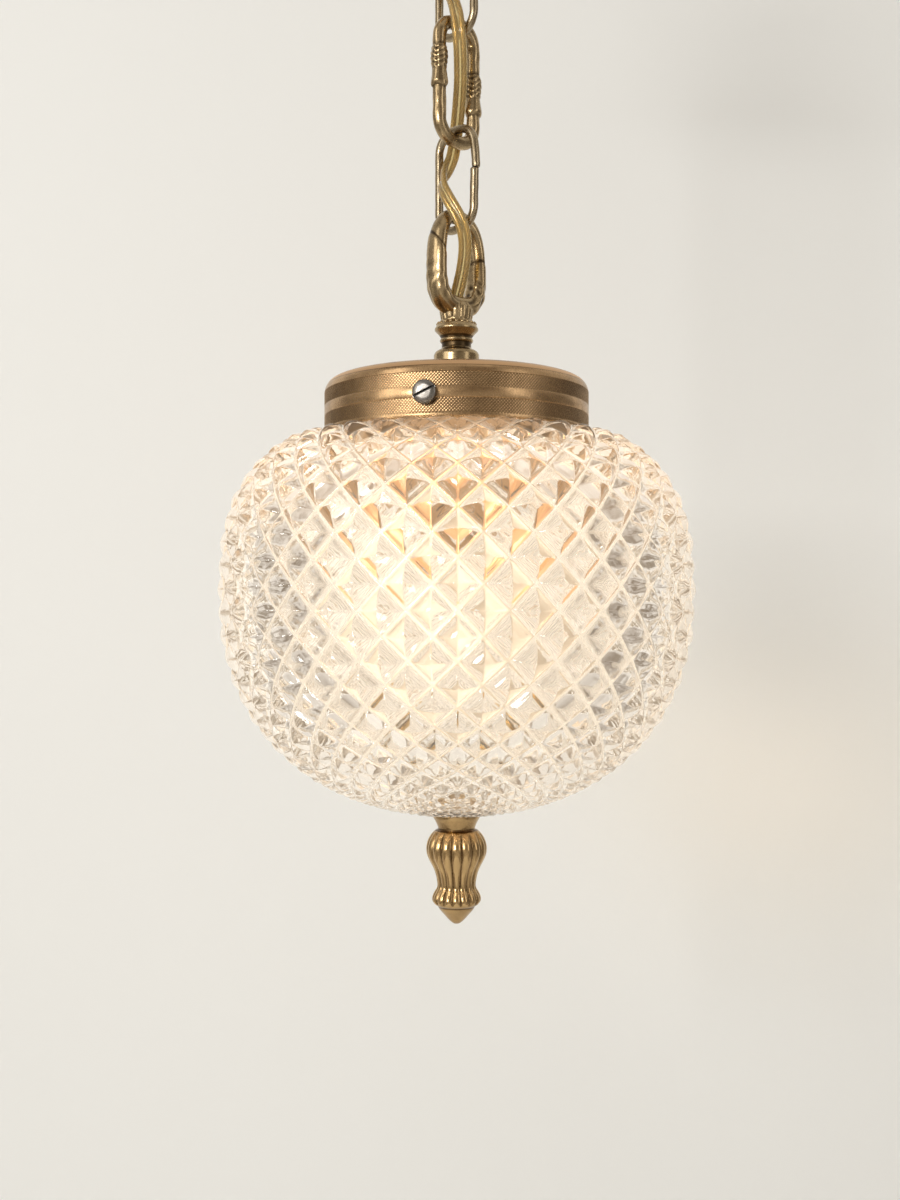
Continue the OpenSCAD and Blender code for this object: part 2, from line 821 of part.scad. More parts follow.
module finial_stud() {
    color(bright_brass)
        translate([0, 0, lamp_z - 187])
            cylinder(d = 6, h = 29);
}

module outer_pad() {
    color([0.15, 0.14, 0.13])
        translate([0, 0, lamp_z - 172.65])
            washer(17, 6.3, 0.95);
}

module inner_pad() {
    color([0.15, 0.14, 0.13])
        translate([0, 0, lamp_z - 167.1])
            washer(20, 6.3, 1.4);
}

module inner_dish() {
    color(bright_brass)
        translate([0, 0, lamp_z])
            rotate_extrude()
                polygon([[3.2, -165.65], [10.5, -165.65], [11.6, -164.9], [11.2, -164.2], [9, -164.6],
                    [3.2, -164.4]]);
}

module stud_nut() {
    color(bright_brass)
        translate([0, 0, lamp_z - 164.3])
            hex_nut(10, 5, 6.04);
}

ceiling_bracket();
ceiling_rose();
rose_stem();
stem_nuts();
rose_washer();
rose_loop();
terminal_block();
terminal_screws();
block_screw();
rose_cores();
flex_rose();
cast_link_upper();
flex_cast_upper();
wire_link_upper();
flex_wire_upper();
cast_link_lower();
flex_cast_lower();
wire_link_lower();
flex_wire_lower();
lamp_loop();
flex_lamp();
lamp_stem();
gallery();
gallery_washer();
gallery_nut();
clamp_screw_1();
clamp_screw_2();
clamp_screw_3();
glass_globe();
holder_cap();
holder_shell();
holder_core();
holder_thread();
centre_contact();
side_contact();
holder_screws();
core_wires();
bulb_glass();
bulb_cap();
bulb_insulator();
bulb_contact();
bulb_mount();
finial();
finial_stud();
outer_pad();
inner_pad();
inner_dish();
stud_nut();
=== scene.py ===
"""Looks of the pendant ceiling light.

Lengths are millimetres up to build(), which turns them into metres; stage, lamps and camera are in metres.
"""
import json
import math

import bpy
import numpy as np
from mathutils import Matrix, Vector


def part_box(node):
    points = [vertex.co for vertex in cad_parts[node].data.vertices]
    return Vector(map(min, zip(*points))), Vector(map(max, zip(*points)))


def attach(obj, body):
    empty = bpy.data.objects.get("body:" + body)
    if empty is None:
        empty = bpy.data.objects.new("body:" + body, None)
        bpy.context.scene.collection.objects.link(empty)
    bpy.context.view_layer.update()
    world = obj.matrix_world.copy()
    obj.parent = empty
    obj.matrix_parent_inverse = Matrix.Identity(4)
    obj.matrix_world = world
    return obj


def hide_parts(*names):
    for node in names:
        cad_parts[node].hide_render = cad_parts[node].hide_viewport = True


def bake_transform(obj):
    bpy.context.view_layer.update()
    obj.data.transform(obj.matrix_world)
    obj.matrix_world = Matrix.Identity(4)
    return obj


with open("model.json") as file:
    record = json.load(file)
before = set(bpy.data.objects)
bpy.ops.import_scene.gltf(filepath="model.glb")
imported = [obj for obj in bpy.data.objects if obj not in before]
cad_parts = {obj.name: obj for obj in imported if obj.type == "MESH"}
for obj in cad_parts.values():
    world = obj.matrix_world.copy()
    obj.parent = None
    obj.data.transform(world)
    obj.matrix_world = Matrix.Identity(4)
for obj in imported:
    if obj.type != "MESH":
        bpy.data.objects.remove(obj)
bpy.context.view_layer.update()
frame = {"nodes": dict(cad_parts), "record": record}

MM = 0.001
NODES = frame["nodes"]
SLOT_OF = {entry["node"]: entry["material_slot"] for entry in frame["record"]["subparts"]}
CHAIN_TURN = math.radians(45)          # turn of the cast links about the vertical
LAMP_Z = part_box("gallery")[1].z / MM   # top of the gallery
GALLERY_R, GALLERY_H = 52.8, 22.8
FILAMENT_Z = LAMP_Z - 98
FRONT = -math.pi / 2


# ---------------------------------------------------------------- small helpers

def smoothstep(x, low=0.0, high=1.0):
    t = min(1.0, max(0.0, (x - low) / (high - low)))
    return t * t * (3 - 2 * t)


def turned(p, angle):
    c, s = math.cos(angle), math.sin(angle)
    return (p[0] * c - p[1] * s, p[0] * s + p[1] * c, p[2])


def arc(cx, cy, r, start, end, n):
    """n + 1 points of an arc, angles in degrees."""
    out = []
    for i in range(n + 1):
        a = math.radians(start + (end - start) * i / n)
        out.append((cx + r * math.cos(a), cy + r * math.sin(a)))
    return out


def rounded(points, r, n=3):
    """An open outline with each inner corner rounded to radius r, or less where its sides are short."""
    out = [points[0]]
    for a, b, c in zip(points, points[1:], points[2:]):
        a, b, c = Vector(a), Vector(b), Vector(c)
        u, v = a - b, c - b
        size = min(r, u.length * 0.45, v.length * 0.45)
        if size < 1e-4:
            out.append(tuple(b))
            continue
        p, q = b + u.normalized() * size, b + v.normalized() * size
        for i in range(n + 1):
            t = i / n
            out.append(tuple(p * (1 - t) ** 2 + b * 2 * t * (1 - t) + q * t * t))
    out.append(points[-1])
    return out


def dense(points, step):
    """An outline with more points, none further than step from the next."""
    out = []
    for a, b in zip(points, points[1:]):
        n = max(1, math.ceil(math.dist(a, b) / step))
        out += [tuple(a[k] + (b[k] - a[k]) * i / n for k in range(len(a))) for i in range(n)]
    out.append(points[-1])
    return out


def build(name, verts, faces, body, material, replaces=(), relief=None, sharp=None, weighted=False):
    """A piece from points in millimetres. relief, -1 to 1 for each point, is read by the metals."""
    mesh = bpy.data.meshes.new(name)
    mesh.from_pydata([(x * MM, y * MM, z * MM) for x, y, z in verts], [], faces)
    mesh.validate()
    mesh.update()
    for p in mesh.polygons:
        p.use_smooth = True
    if sharp is not None:
        mesh.set_sharp_from_angle(angle=math.radians(sharp))
    values = mesh.attributes.new("relief", "FLOAT", "POINT")
    if relief is not None:
        values.data.foreach_set("value", np.array(relief, np.float32))
    mesh.materials.append(material)
    piece = bpy.data.objects.new(name, mesh)
    bpy.context.scene.collection.objects.link(piece)
    if weighted:
        piece.modifiers.new("normals", "WEIGHTED_NORMAL").keep_sharp = True
    if body:
        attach(piece, body)
    if replaces:
        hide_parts(*replaces)
    return piece


def grid_faces(rings, n, closed_rings=False, flip=False):
    faces = []
    for i in range(rings if closed_rings else rings - 1):
        a, b = i * n, (i + 1) % rings * n
        for j in range(n):
            k = (j + 1) % n
            face = (a + j, a + k, b + k, b + j)
            faces.append(face[::-1] if flip else face)
    return faces


def lathe(profile, n, shape=None, closed=True):
    """Points and faces of a turned shape. profile is (r, z); shape(i, r, z, angle) gives what is added to r
    and the relief."""
    verts, relief = [], []
    for i, (r, z) in enumerate(profile):
        for j in range(n):
            q = 2 * math.pi * j / n
            more, high = shape(i, r, z, q) if shape else (0, 0)
            verts.append(((r + more) * math.cos(q), (r + more) * math.sin(q), z))
            relief.append(high)
    return verts, grid_faces(len(profile), n, closed, flip=True), relief


def joined(*parts):
    """Several (points, faces, relief) as one."""
    verts, faces, relief = [], [], []
    for v, f, r in parts:
        start = len(verts)
        verts += v
        faces += [tuple(start + k for k in face) for face in f]
        relief += r if r else [0] * len(v)
    return verts, faces, relief


def placed(part, angle=0.0, z=0.0):
    v, f, r = part
    return [(p[0], p[1], p[2] + z) for p in (turned(p, angle) for p in v)], f, r


# ---------------------------------------------------------------- materials

# strength of the glow: of the bulb's glass at its ends and at its filament, and of the painted glow, emission
# that stands in for bulb light, of the pressed glass at its foot, at its neck, in its grooves and in front of
# the lampholder
BULB_EDGE, BULB_HEART = 0.05, 0.07
PAINTED_GLOW_LOW, PAINTED_GLOW_HIGH, PAINTED_GLOW_GROOVE, PAINTED_GLOW_HOLDER = 0.070, 0.095, 0.075, 0.14
BULB_LIGHT = (1.0, 0.60, 0.30)


class Nodes:
    """A node tree; its textures take their place from one output of the texture coordinates."""

    def __init__(self, tree, place):
        self.tree = tree
        self.where = self.node("ShaderNodeTexCoord").outputs[place]

    def node(self, kind, **values):
        n = self.tree.nodes.new(kind)
        for key, value in values.items():
            setattr(n, key, value)
        return n

    def link(self, a, b):
        self.tree.links.new(a, b)

    def noise(self, scale, detail=3.0, rough=0.55, stretch=(1, 1, 1), distortion=0.0):
        n = self.node("ShaderNodeTexNoise")
        n.inputs["Scale"].default_value = scale
        n.inputs["Detail"].default_value = detail
        n.inputs["Roughness"].default_value = rough
        n.inputs["Distortion"].default_value = distortion
        if stretch == (1, 1, 1):
            self.link(self.where, n.inputs["Vector"])
        else:
            m = self.node("ShaderNodeMapping")
            m.inputs["Scale"].default_value = stretch
            self.link(self.where, m.inputs["Vector"])
            self.link(m.outputs["Vector"], n.inputs["Vector"])
        return n.outputs["Fac"]

    def spread(self, value, low, high, to_low=0.0, to_high=1.0):
        n = self.node("ShaderNodeMapRange")
        n.inputs["From Min"].default_value = low
        n.inputs["From Max"].default_value = high
        n.inputs["To Min"].default_value = to_low
        n.inputs["To Max"].default_value = to_high
        self.link(value, n.inputs["Value"])
        return n.outputs["Result"]

    def math(self, operation, a, b):
        n = self.node("ShaderNodeMath", operation=operation)
        for socket, value in zip(n.inputs, (a, b)):
            if isinstance(value, (int, float)):
                socket.default_value = value
            else:
                self.link(value, socket)
        return n.outputs["Value"]

    def mix(self, share, a, b):
        n = self.node("ShaderNodeMix", data_type="RGBA")
        self.link(share, n.inputs["Factor"])
        for socket, value in ((n.inputs[6], a), (n.inputs[7], b)):
            if isinstance(value, tuple):
                socket.default_value = (*value[:3], 1)
            else:
                self.link(value, socket)
        return n.outputs[2]

    def axes(self):
        n = self.node("ShaderNodeSeparateXYZ")
        self.link(self.where, n.inputs["Vector"])
        return n.outputs


class Tree(Nodes):
    """The node tree of one material."""

    def __init__(self, name):
        self.material = bpy.data.materials.new(name)
        self.material.use_nodes = True
        super().__init__(self.material.node_tree, "Object")
        self.bsdf = self.tree.nodes["Principled BSDF"]
        self.out = self.tree.nodes["Material Output"]

    def set(self, **values):
        for key, value in values.items():
            self.bsdf.inputs[key.replace("_", " ")].default_value = value

    def attribute(self, name):
        return self.node("ShaderNodeAttribute", attribute_name=name).outputs["Fac"]

    def bump(self, height, distance, strength=1.0, after=None):
        n = self.node("ShaderNodeBump")
        n.inputs["Distance"].default_value = distance
        n.inputs["Strength"].default_value = strength
        self.link(height, n.inputs["Height"])
        if after is not None:
            self.link(after, n.inputs["Normal"])
        self.link(n.outputs["Normal"], self.bsdf.inputs["Normal"])
        return n.outputs["Normal"]

    def clear_where(self, share, tint=(1, 1, 1)):
        """Makes the surface a plain tinted window where share is 1."""
        clear = self.node("ShaderNodeBsdfTransparent")
        clear.inputs["Color"].default_value = (*tint, 1)
        both = self.node("ShaderNodeMixShader")
        self.link(share, both.inputs["Fac"])
        self.link(self.bsdf.outputs["BSDF"], both.inputs[1])
        self.link(clear.outputs["BSDF"], both.inputs[2])
        self.link(both.outputs["Shader"], self.out.inputs["Surface"])


def metal(name, bright, dark, rough=(0.18, 0.34), turning=None, patina=0.35, hollows=0.8, lit=0.0,
          deep=False):
    """A worn metal: bright on high places, dark in hollows, with lathe lines along turning if it is given;
    the dark hollows are part patina and part painted shade, the bright high places part wear and part painted
    highlight.

    lit is the strength of a painted glow, emission in the bulb's colour that stands in for the bulb light the
    glass round it throws back on it, only on its inside if deep is true.
    """
    t = Tree(name)
    patches = t.spread(t.noise(90, 5, 0.6), 0.38, 0.68)
    stains = t.spread(t.noise(420, 4, 0.65), 0.45, 0.75)
    # relief from the mesh: dark in hollows and bright on high places, part patina and wear, part painted shade
    # and painted highlight
    relief = t.spread(t.attribute("relief"), -1, 1, hollows, -hollows)
    worn = t.math("ADD", t.math("MULTIPLY", patches, patina), t.math("MULTIPLY", stains, patina * 0.4))
    share = t.math("MAXIMUM", t.math("MINIMUM", t.math("ADD", worn, relief), 1.0), 0.0)
    t.link(t.mix(share, bright, dark), t.bsdf.inputs["Base Color"])
    t.set(Metallic=1.0)
    # painted glow: emission standing in for bulb light thrown back by the glass
    if lit:
        t.set(Emission_Color=(*BULB_LIGHT, 1), Emission_Strength=lit)
    # painted glow only where relief is -1, the inside of the gallery
    if deep:
        t.link(t.spread(t.attribute("relief"), -0.96, -1.0, 0.0, lit), t.bsdf.inputs["Emission Strength"])
    fine = t.noise(1500, 3, 0.6)
    roughness = t.math("ADD", t.spread(fine, 0.3, 0.7, rough[0], rough[1]), t.math("MULTIPLY", share, 0.12))
    t.link(roughness, t.bsdf.inputs["Roughness"])
    pits = t.bump(t.noise(900, 5, 0.7), 0.00004, 0.5)
    if turning:
        t.bump(t.noise(60, 3, 0.6, turning), 0.00003, 0.6, after=pits)
    return t.material


def lets_lamps_through(t, tint):
    """Lamps light what is inside as if the surface were a plain tinted window."""
    t.clear_where(t.node("ShaderNodeLightPath").outputs["Is Shadow Ray"], tint)


def pressed_glass():
    """Clear pressed glass with a painted glow, emission that stands in for the bulb's light scattered in it,
    most in the grooves between its points, and a painted reflection of the lit lampholder near its neck.
    """
    t = Tree("pressed_glass")
    t.set(Base_Color=(1.0, 0.968, 0.920, 1), Transmission_Weight=1.0, IOR=1.5)
    t.link(t.spread(t.noise(300, 3), 0.35, 0.7, 0.02, 0.08), t.bsdf.inputs["Roughness"])
    # painted glow in the grooves, and on the outside a painted glow that grows towards the neck
    groove = t.spread(t.attribute("relief"), 0.0, 1.0)
    inside = t.spread(t.attribute("relief"), -1.0, -0.4)
    height = t.axes()["Z"]
    near = t.spread(height, (LAMP_Z - 160) * MM, (LAMP_Z - 30) * MM, PAINTED_GLOW_LOW, PAINTED_GLOW_HIGH)
    cloudy = t.spread(t.noise(55, 3, 0.6), 0.3, 0.7, 0.75, 1.25)
    # painted reflection of the lit lampholder: strongest near the neck where the glass faces the viewer
    facing = t.spread(t.node("ShaderNodeLayerWeight").outputs["Facing"], 0.05, 0.7, 1.0, 0.0)
    holder = t.spread(height, (LAMP_Z - 70) * MM, (LAMP_Z - 24) * MM)
    above = t.math("MULTIPLY", t.math("MULTIPLY", holder, facing), PAINTED_GLOW_HOLDER)
    glow = t.math("MULTIPLY", t.math("MULTIPLY", t.math("ADD", near, above), cloudy), inside)
    t.link(t.math("ADD", glow, t.math("MULTIPLY", groove, PAINTED_GLOW_GROOVE)), t.bsdf.inputs["Emission Strength"])
    # colours of the painted glow: the bulb's orange near the lampholder, paler in the grooves
    warm = t.mix(holder, (1.0, 0.74, 0.50), BULB_LIGHT)
    t.link(t.mix(groove, warm, (1.0, 0.86, 0.66)), t.bsdf.inputs["Emission Color"])
    t.bump(t.noise(120, 2, 0.5), 0.0006, 0.4)
    lets_lamps_through(t, (0.95, 0.93, 0.90))
    return t.material


def flex_cover():
    t = Tree("flex_cover")
    t.link(t.mix(t.noise(160, 3), (0.90, 0.75, 0.38), (0.80, 0.62, 0.26)), t.bsdf.inputs["Base Color"])
    t.set(Transmission_Weight=0.8, IOR=1.48)
    t.link(t.spread(t.noise(500, 3), 0.3, 0.7, 0.12, 0.28), t.bsdf.inputs["Roughness"])
    t.bump(t.noise(700, 3), 0.0001, 0.35)
    lets_lamps_through(t, (0.86, 0.74, 0.46))
    return t.material


def plain(name, colour, other, rough, grain=600, bump=0.00005, **values):
    """A plastic, rubber, glaze or paint with slow colour change and fine grain."""
    t = Tree(name)
    t.link(t.mix(t.noise(140, 4), colour, other), t.bsdf.inputs["Base Color"])
    t.link(t.spread(t.noise(grain, 4), 0.3, 0.7, rough[0], rough[1]), t.bsdf.inputs["Roughness"])
    t.bump(t.noise(grain * 1.5, 4, 0.6), bump, 0.5)
    t.set(**values)
    return t.material


def lit_glass(centre):
    """Frosted glass lit from inside, brightest round the filament at centre, a height in millimetres."""
    t = Tree("lit_bulb_glass")
    t.link(t.mix(t.noise(300, 3), (0.86, 0.78, 0.66), (0.82, 0.72, 0.58)), t.bsdf.inputs["Base Color"])
    t.link(t.spread(t.noise(900, 3), 0.3, 0.7, 0.35, 0.5), t.bsdf.inputs["Roughness"])
    away = t.math("ABSOLUTE", t.math("SUBTRACT", t.axes()["Z"], centre * MM), 0.0)
    glow = t.spread(away, 0.0, 0.045, 1.0, 0.0)
    t.link(t.mix(glow, (1.0, 0.64, 0.34), (1.0, 0.80, 0.56)), t.bsdf.inputs["Emission Color"])
    t.link(t.spread(glow, 0.0, 1.0, BULB_EDGE, BULB_HEART), t.bsdf.inputs["Emission Strength"])
    t.bump(t.noise(1800, 3), 0.00003, 0.4)
    lets_lamps_through(t, (1.0, 0.95, 0.88))
    return t.material


MATERIALS = {
    "antique_brass": metal("antique_brass", (0.61, 0.40, 0.21), (0.20, 0.12, 0.055), (0.20, 0.32),
                           turning=(1, 1, 60)),
    "cast_brass": metal("cast_brass", (0.47, 0.345, 0.19), (0.07, 0.045, 0.022), (0.17, 0.30), patina=0.5,
                        hollows=0.85),
    "bright_brass": metal("bright_brass", (0.84, 0.64, 0.33), (0.52, 0.36, 0.16), (0.16, 0.28)),
    "steel": metal("steel", (0.27, 0.25, 0.225), (0.11, 0.095, 0.08), (0.24, 0.40)),
    "glass": pressed_glass(),
    "flex_cover": flex_cover(),
    "core_cover": plain("core_cover", (0.78, 0.62, 0.30), (0.68, 0.52, 0.24), (0.25, 0.40)),
    "terminal_plastic": plain("terminal_plastic", (0.86, 0.85, 0.80), (0.80, 0.79, 0.73), (0.35, 0.55)),
    "porcelain": plain("porcelain", (0.90, 0.89, 0.85), (0.86, 0.84, 0.79), (0.10, 0.22), Coat_Weight=0.4),
    "bulb_glass": lit_glass(FILAMENT_Z),
    "black_glass": plain("black_glass", (0.012, 0.012, 0.015), (0.03, 0.03, 0.034), (0.08, 0.2)),
    "solder": metal("solder", (0.60, 0.60, 0.58), (0.34, 0.33, 0.32), (0.30, 0.5)),
    "rubber": plain("rubber", (0.035, 0.033, 0.03), (0.06, 0.055, 0.05), (0.55, 0.75)),
}
# brasses of single pieces, and the strands in the flex
MATERIALS |= {
    "wire_brass": metal("wire_brass", (0.40, 0.315, 0.20), (0.12, 0.085, 0.05), (0.18, 0.32)),
    # gallery brass with a painted glow on its inside, emission for the bulb light the glass throws back there
    "gallery_brass_painted_glow": metal("gallery_brass_painted_glow", (0.55, 0.355, 0.185), (0.13, 0.075, 0.035), (0.20, 0.32),
                           turning=(1, 1, 60), hollows=0.95, lit=0.36, deep=True),
    "finial_brass": metal("finial_brass", (0.58, 0.385, 0.18), (0.12, 0.07, 0.03), (0.14, 0.26), hollows=0.85),
    # lampholder brass: a lit copy of brass, orange and glowing, painted with the bulb light the glass throws
    # back on it
    "holder_brass_painted_glow": metal("holder_brass_painted_glow", (0.90, 0.58, 0.32), (0.74, 0.44, 0.22), (0.42, 0.55), patina=0.5,
                          lit=0.42),
    "strands": metal("strands", (0.62, 0.45, 0.22), (0.30, 0.18, 0.07), (0.25, 0.4), patina=0.5),
}


# ---------------------------------------------------------------- chain

def oval_route(length, half, flat, d, step):
    """Points (x, z) round a link's middle line, from half way down its +X leg."""
    r = half - flat / 2
    top, low = -d / 2 - r, -length + d / 2 + r
    mid = (top + low) / 2
    line = [(half, mid), (half, low)]
    line += arc(flat / 2, low, r, 0, -90, 14)[1:]
    line += arc(-flat / 2, low, r, -90, -180, 14)
    line += [(-half, top)]
    line += arc(-flat / 2, top, r, 180, 90, 14)[1:]
    line += arc(flat / 2, top, r, 90, 0, 14)
    line += [(half, mid)]
    return dense(line, step)


def sweep_flat(route, n, section, closed):
    """Sweeps a section along a route in the XZ plane. section(i, angle) gives out, side, along and relief."""
    verts, relief = [], []
    count = len(route)
    for i, (x, z) in enumerate(route):
        before = route[(i - 1) % count] if closed or i else route[i]
        after = route[(i + 1) % count] if closed or i < count - 1 else route[i]
        tangent = Vector((after[0] - before[0], 0, after[1] - before[1])).normalized()
        out = Vector((-tangent.z, 0, tangent.x))
        for j in range(n):
            q = 2 * math.pi * j / n
            a, b, c, high = section(i, q)
            p = Vector((x, 0, z)) + out * a + Vector((0, 1, 0)) * b + tangent * c
            verts.append(tuple(p))
            relief.append(high)
    return verts, grid_faces(count, n, closed), relief


def capped(part, n):
    """Closes both ends of a sweep with n points to a ring."""
    v, f, r = part
    last = len(v) - n
    return v, f + [tuple(range(n))[::-1], tuple(range(last, last + n))], r


CUFF_PROFILE = [(-0.5, 0.0), (-0.2, 0.42), (0.5, 0.66), (1.5, 0.74), (3.2, 0.6), (5.0, 0.36), (7.0, 0.12),
                (8.6, 0.38), (10.4, 0.58), (12.4, 0.62), (14.2, 0.5), (15.6, 0.3), (16.4, 0.0)]
CUFF_LENGTH = CUFF_PROFILE[-1][0]


def cuff(height, angle):
    """How far a leaf sleeve stands out over the wire, and its relief, at a height above its lower edge."""
    stands = float(np.interp(height, *zip(*CUFF_PROFILE)))
    if stands <= 0:
        return 0.0, 0.0
    if height < 6.6:
        petal = abs(math.cos(2 * angle + 0.5))
        ripple = 0.20 * (petal ** 0.5 - 0.6)
    else:
        leaf = (angle * 3 / (2 * math.pi) + 0.2) % 1 * 2 - 1
        veins = math.sin(2 * math.pi * (height / 2.1 + 0.9 * abs(leaf)))
        gap, rib = smoothstep(abs(leaf), 0.78, 1.0), 1 - smoothstep(abs(leaf), 0, 0.2)
        ripple = 0.17 * veins - 0.30 * gap + 0.16 * rib
    share = smoothstep(stands, 0, 0.3)
    return stands + ripple * share, max(-1.0, min(1.0, ripple * 3.6)) * share


def cast_link(name, body):
    low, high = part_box(name)
    length, d, half = (high.z - low.z) / MM, 5.4, 9.6
    route = oval_route(length, half, 3.2, d, 0.42)[:-1]
    edges = {1: -37.6, -1: -30.6}      # lower edge of the leaf sleeve on each leg

    def section(i, q):
        x, z = route[i]
        r, high_place, slide = d / 2, 0.15, 0.0
        if abs(abs(x) - half) < 0.01:
            side = 1 if x > 0 else -1
            above = z - edges[side]
            scallop = 0.9 * abs(math.sin(1.5 * q + side))
            slide = -side * scallop * (1 - smoothstep(abs(above - 0.2), 0.0, 2.4))
            more, high_place = cuff(above, q)
            r += more
            # painted shade: the plain wire darker close to both ends of the leaf sleeve, in the undercut at its
            # edges
            if more == 0:
                near = min(abs(above), abs(above - CUFF_LENGTH))
                high_place = 0.15 - 0.9 * (1 - smoothstep(near, 0.2, 1.6))
        worn = 0.05 * math.sin(3 * q + z * 0.6) + 0.04 * math.sin(z * 1.1 + x)
        return (r + worn) * math.cos(q), (r + worn) * math.sin(q), slide, high_place

    part = placed(sweep_flat(route, 40, section, True), CHAIN_TURN, high.z / MM)
    return build(name + "_cast", part[0], part[1], body, MATERIALS["cast_brass"], [name], part[2])


def wire_link(name, body):
    low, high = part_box(name)
    length, d, half = (high.z - low.z) / MM, 3.4, 9.8
    butt = -19.2      # height of the joint between the ends of the wire
    plain_route = oval_route(length, half, 3.6, d, 0.6)
    start = min(range(len(plain_route) - 1),
                key=lambda i: (plain_route[i][0] < 0, abs(plain_route[i][1] - butt)))
    ring = plain_route[:-1]
    route = ring[start:] + ring[:start + 1]
    moved = []
    for i, (x, z) in enumerate(route):
        near_start = i < len(route) / 2
        if x > 0 and near_start:
            x += 0.35 * smoothstep(z, butt - 14, butt)
        elif x > 0:
            x += 1.15 * smoothstep(-z, 4.0, -butt)
        moved.append((x, z))
    moved[0] = (moved[0][0], butt - 0.12)
    moved[-1] = (moved[-1][0], butt + 0.12)
    last = len(moved) - 1

    def section(i, q):
        r = d / 2
        ends = min(i, last - i)
        if ends < 2:
            r -= (0.22, 0.06)[ends]
        groove = 0.03 * math.sin(z_at[i] * 0.9) + 0.02 * math.sin(5 * q)
        high_place = 0.1 - (0.8 if ends == 0 else 0.0)
        return (r + groove) * math.cos(q), (r + groove) * math.sin(q), 0.0, high_place

    z_at = [p[1] for p in moved]
    part = capped(sweep_flat(moved, 28, section, False), 28)
    part = placed(part, -CHAIN_TURN, high.z / MM)
    return build(name + "_bent", part[0], part[1], body, MATERIALS["wire_brass"], [name],
                 part[2], sharp=50)


# ---------------------------------------------------------------- flex

# route of the flex from the terminals to the lampholder: x, y, z, turn of its flat side
FLEX_ROUTE = [
    (14.4, 15, -18, 0), (14.4, 17.4, -16.2, 0), (12.4, 17, -11.5, 0), (8, 13, -6.4, 0),
    (3.8, 8, -3.8, 0), (0.6, 3, -3.2, 0), (0, 0.4, -6, 0), (0, 0, -11, 0), (0, 0, -28, 0), (0, 0, -44, 0),
    (0, 0, -50, 0), (-1, -1.6, -54, 0), (-1.6, -4.6, -59, 0), (-0.2, -7.4, -64, 0),
    (0.9, -8.2, -68, 0), (1.2, -7.8, -72, 0), (1.4, -5, -79, 0), (1.4, 0, -88, 0), (0.9, 4.4, -97, 0),
    (0, 7.4, -105, 0),
    (-0.6, 8.2, -110, 0), (-1.6, 7.2, -116, 0), (-2.5, 3.4, -124, 20), (-2.4, -0.6, -130, 20),
    (-1, -4.8, -136, 10), (0, -7.2, -141, 0),
    (0.6, -8.2, -146, 0), (1, -7.9, -150, 0), (1.5, -5, -157, 0), (1.6, -0.4, -166, 0), (0.9, 4.2, -175, 0),
    (0, 7.4, -183, 0),
    (-0.6, 8.2, -188, 0), (-1.6, 7, -194, 0), (-3.6, 4, -200, 40), (-5.2, 0, -205, 85),
    (-5.4, -4.4, -210, 120), (-3.2, -8.8, -216, 155),
    (0.6, -9.8, -223, 175), (2.8, -9, -229, 180), (3.4, -6.8, -235, 180), (2.6, -3.6, -242, 180),
    (1.2, -1, -248, 180), (0.2, 0, -252, 180), (0, 0, -256, 180), (0, 0, -270, 180),
    (0, 0, -286, 180), (0, 0, -300, 180), (0, 0, -304, 180)]
# where the flex bends from link to link it is cut into pieces: the two bodies, the last point of the route on
# the upper one, the two CAD nodes, the height of the pivot
FLEX_JOINTS = [("ceiling", "cast_link_1", 17, "flex_rose", "flex_cast_upper", -69.5),
               ("cast_link_1", "wire_link_1", 23, "flex_cast_upper", "flex_wire_upper", -111.7),
               ("wire_link_1", "cast_link_2", 29, "flex_wire_upper", "flex_cast_lower", -147.2),
               ("cast_link_2", "wire_link_2", 35, "flex_cast_lower", "flex_wire_lower", -190.2),
               ("wire_link_2", "lamp", 48, "flex_wire_lower", "flex_lamp", -225.7)]
FLEX_STEPS = 8
CORE_APART = 1.32
CORE_R = 1.36


def curve_point(a, b, c, d, t):
    a, b, c, d = (np.array(p, float) for p in (a, b, c, d))
    return 0.5 * (2 * b + (c - a) * t + (2 * a - 5 * b + 4 * c - d) * t * t + (3 * b - a - 3 * c + d) * t ** 3)


def flex_frames():
    """Places along the flex: point, way across its flat side, way out of it, length so far."""
    p, n = FLEX_ROUTE, len(FLEX_ROUTE)
    line = []
    for i in range(n - 1):
        for s in range(FLEX_STEPS):
            line.append(curve_point(p[max(i - 1, 0)], p[i], p[i + 1], p[min(i + 2, n - 1)], s / FLEX_STEPS))
    line.append(np.array(p[-1], float))
    frames, run = [], 0.0
    for i, q in enumerate(line):
        along = line[min(i + 1, len(line) - 1)][:3] - line[max(i - 1, 0)][:3]
        along /= np.linalg.norm(along)
        flat = np.array([math.cos(math.radians(q[3])), math.sin(math.radians(q[3])), 0])
        across = flat - flat.dot(along) * along
        across /= np.linalg.norm(across)
        if i:
            run += float(np.linalg.norm(q[:3] - line[i - 1][:3]))
        frames.append((q[:3], across, np.cross(along, across), run))
    return frames


def twin_outline(n):
    """Outline of the flat twin: two round covers with a narrow web between them."""
    out = []
    for j in range(n):
        q = 2 * math.pi * j / n
        side = 1 if math.cos(q) >= 0 else -1
        reach = abs(math.cos(q))
        x = side * (CORE_APART + CORE_R) * reach ** 0.9
        inside = CORE_R ** 2 - (abs(x) - CORE_APART) ** 2
        y = max(math.sqrt(max(inside, 0)), 0.78 if abs(x) < CORE_APART else 0.0)
        out.append((x, y if math.sin(q) >= 0 else -y))
    return out


def flex_piece(name, frames, section, n, material, closed_ends):
    verts, relief = [], []
    for centre, across, up, run in frames:
        for j in range(n):
            x, y, high = section(j, run)
            verts.append(tuple(centre + across * x + up * y))
            relief.append(high)
    faces = grid_faces(len(frames), n)
    if closed_ends[0]:
        faces.append(tuple(range(n))[::-1])
    if closed_ends[1]:
        last = len(verts) - n
        faces.append(tuple(range(last, last + n)))
    return build(name, verts, faces, None, material, (), relief)


